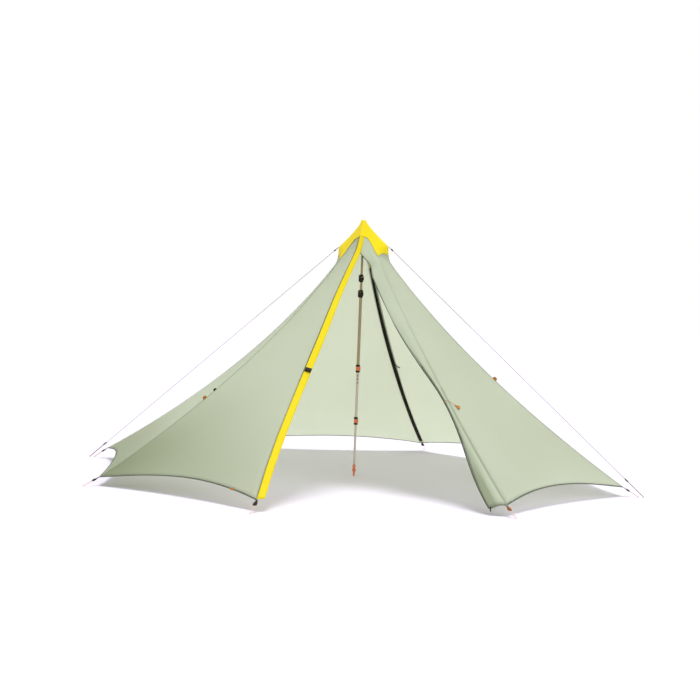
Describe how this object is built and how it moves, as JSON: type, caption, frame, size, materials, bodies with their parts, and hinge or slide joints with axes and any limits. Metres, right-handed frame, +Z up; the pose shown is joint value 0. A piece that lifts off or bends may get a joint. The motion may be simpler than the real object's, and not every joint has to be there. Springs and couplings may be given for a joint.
{
  "type": "pyramid tent",
  "caption": "Floorless pyramid tent pitched on a telescoping centre pole, with its front door rolled aside, storm flaps over the zips, guy lines and ground loops.",
  "frame": {"origin": "the pole foot's tip on the ground, under the apex", "axes": "+Z up along the pole, -Y towards the open front zip ridge, +Y towards the closed back zip ridge, -X and +X towards the two guy lines"},
  "size_m": [3.8412, 4.0114, 1.7022],
  "materials": {
    "canopy_cloth": "coated ripstop nylon, satin",
    "flap_cloth": "coated nylon, satin",
    "zip_tape": "matt woven tape",
    "champagne_tube": "anodised, satin",
    "grey_tube": "anodised, satin",
    "black_plastic": "moulded, satin",
    "orange_plastic": "moulded, satin",
    "grey_plastic": "moulded, satin",
    "orange_webbing": "woven",
    "guy_cord": "braided"
  },
  "bodies": {
    "canopy": {"wall_front_to_front_left": "canopy_cloth", "wall_front_left_to_left": "canopy_cloth", "wall_left_to_back_left": "canopy_cloth", "wall_back_left_to_back": "canopy_cloth", "wall_back_to_back_right": "canopy_cloth", "wall_back_right_to_right": "canopy_cloth", "wall_right_to_front_right": "canopy_cloth", "front_door": "canopy_cloth", "peak_cap": "flap_cloth", "front_storm_flap": "flap_cloth", "back_storm_flap": "flap_cloth", "front_zip_tape": "zip_tape", "back_zip_backing": "zip_tape", "pole_upper_thin_tube": "champagne_tube", "pole_tip": "black_plastic", "left_guy_tab": "orange_webbing", "left_guy_line": "guy_cord", "right_guy_tab": "orange_webbing", "right_guy_line": "guy_cord", "front_corner_adjuster": "black_plastic", "front_left_corner_adjuster": "black_plastic", "left_corner_adjuster": "black_plastic", "back_left_corner_adjuster": "black_plastic", "back_corner_adjuster": "black_plastic", "back_right_corner_adjuster": "black_plastic", "right_corner_adjuster": "black_plastic", "front_right_corner_adjuster": "black_plastic", "door_toggle": "orange_webbing", "door_tie_cord": "guy_cord", "front_left_ridge_tab": "orange_webbing", "right_ridge_tab": "orange_webbing", "flap_buckle": "black_plastic", "door_corner_toggle": "black_plastic"},
    "pole_upper_middle": {"pole_upper_middle_tube": "champagne_tube", "pole_top_lock": "black_plastic"},
    "pole_thick": {"pole_thick_tube": "champagne_tube", "pole_upper_lock": "black_plastic", "pole_middle_lock": "black_plastic"},
    "pole_lower_middle": {"pole_lower_middle_tube": "grey_tube", "pole_lower_lock": "black_plastic"},
    "pole_lower_thin": {"pole_lower_thin_tube": "grey_tube", "pole_foot": "orange_plastic"},
    "top_lever": {"pole_top_lever": "black_plastic"},
    "upper_lever": {"pole_upper_lever": "black_plastic"},
    "middle_lever": {"pole_middle_lever": "orange_plastic"},
    "lower_lever": {"pole_lower_lever": "orange_plastic"},
    "left_tensioner": {"left_guy_tensioner": "grey_plastic"},
    "right_tensioner": {"right_guy_tensioner": "grey_plastic"},
    "front_slider": {"front_zip_slider": "black_plastic"},
    "back_slider": {"back_zip_slider": "black_plastic"},
    "front_loop": {"front_stake_loop": "orange_webbing"},
    "front_left_loop": {"front_left_stake_loop": "orange_webbing"},
    "left_loop": {"left_stake_loop": "orange_webbing"},
    "back_left_loop": {"back_left_stake_loop": "orange_webbing"},
    "back_loop": {"back_stake_loop": "orange_webbing"},
    "back_right_loop": {"back_right_stake_loop": "orange_webbing"},
    "right_loop": {"right_stake_loop": "orange_webbing"},
    "front_right_loop": {"front_right_stake_loop": "orange_webbing"}
  },
  "joints": [
    {"name": "pole_top_slide", "type": "slide", "parent": "canopy", "child": "pole_upper_middle", "axis": [0, 0, 1], "range_m": [0, 0.2]},
    {"name": "pole_upper_slide", "type": "slide", "parent": "pole_upper_middle", "child": "pole_thick", "axis": [0, 0, 1], "range_m": [0, 0.045]},
    {"name": "pole_middle_slide", "type": "slide", "parent": "pole_thick", "child": "pole_lower_middle", "axis": [0, 0, 1], "range_m": [0, 0.23]},
    {"name": "pole_lower_slide", "type": "slide", "parent": "pole_lower_middle", "child": "pole_lower_thin", "axis": [0, 0, 1], "range_m": [0, 0.25]},
    {"name": "top_lever_hinge", "type": "hinge", "parent": "pole_upper_middle", "child": "top_lever", "pos_m": [-0.01466, -0.00534, 1.316], "axis": [0, 0, -1], "range_deg": [0, 115]},
    {"name": "upper_lever_hinge", "type": "hinge", "parent": "pole_thick", "child": "upper_lever", "pos_m": [-0.01588, -0.00578, 1.214], "axis": [0, 0, -1], "range_deg": [0, 115]},
    {"name": "middle_lever_hinge", "type": "hinge", "parent": "pole_thick", "child": "middle_lever", "pos_m": [-0.00578, -0.01588, 0.718], "axis": [0, 0, -1], "range_deg": [0, 115]},
    {"name": "lower_lever_hinge", "type": "hinge", "parent": "pole_lower_middle", "child": "lower_lever", "pos_m": [-0.00534, -0.01466, 0.37], "axis": [0, 0, -1], "range_deg": [0, 115]},
    {"name": "left_tensioner_slide", "type": "slide", "parent": "canopy", "child": "left_tensioner", "axis": [0.759, -0.0077, 0.651], "range_m": [0, 0.25]},
    {"name": "right_tensioner_slide", "type": "slide", "parent": "canopy", "child": "right_tensioner", "axis": [-0.7489, 0.0078, 0.6627], "range_m": [0, 0.25]},
    {"name": "front_zip_slide", "type": "slide", "parent": "canopy", "child": "front_slider", "axis": [-0.0584, -0.7271, -0.6841], "range_m": [0, 0.08]},
    {"name": "back_zip_slide", "type": "slide", "parent": "canopy", "child": "back_slider", "axis": [0, -0.8672, 0.498], "range_m": [0, 0.12]},
    {"name": "front_loop_slide", "type": "slide", "parent": "canopy", "child": "front_loop", "axis": [0.0094, 0.8631, 0.5049], "range_m": [0, 0.01]},
    {"name": "front_left_loop_slide", "type": "slide", "parent": "canopy", "child": "front_left_loop", "axis": [0.594, 0.6711, 0.4436], "range_m": [0, 0.01]},
    {"name": "left_loop_slide", "type": "slide", "parent": "canopy", "child": "left_loop", "axis": [0.8288, -0.0085, 0.5595], "range_m": [0, 0.01]},
    {"name": "back_left_loop_slide", "type": "slide", "parent": "canopy", "child": "back_left_loop", "axis": [0.6038, -0.6168, 0.5049], "range_m": [0, 0.01]},
    {"name": "back_loop_slide", "type": "slide", "parent": "canopy", "child": "back_loop", "axis": [0, -0.8632, 0.5049], "range_m": [0, 0.01]},
    {"name": "back_right_loop_slide", "type": "slide", "parent": "canopy", "child": "back_right_loop", "axis": [-0.6082, -0.6125, 0.5049], "range_m": [0, 0.01]},
    {"name": "right_loop_slide", "type": "slide", "parent": "canopy", "child": "right_loop", "axis": [-0.8743, 0.0091, 0.4853], "range_m": [0, 0.01]},
    {"name": "front_right_loop_slide", "type": "slide", "parent": "canopy", "child": "front_right_loop", "axis": [-0.6011, 0.6195, 0.5049], "range_m": [0, 0.01]}
  ]
}
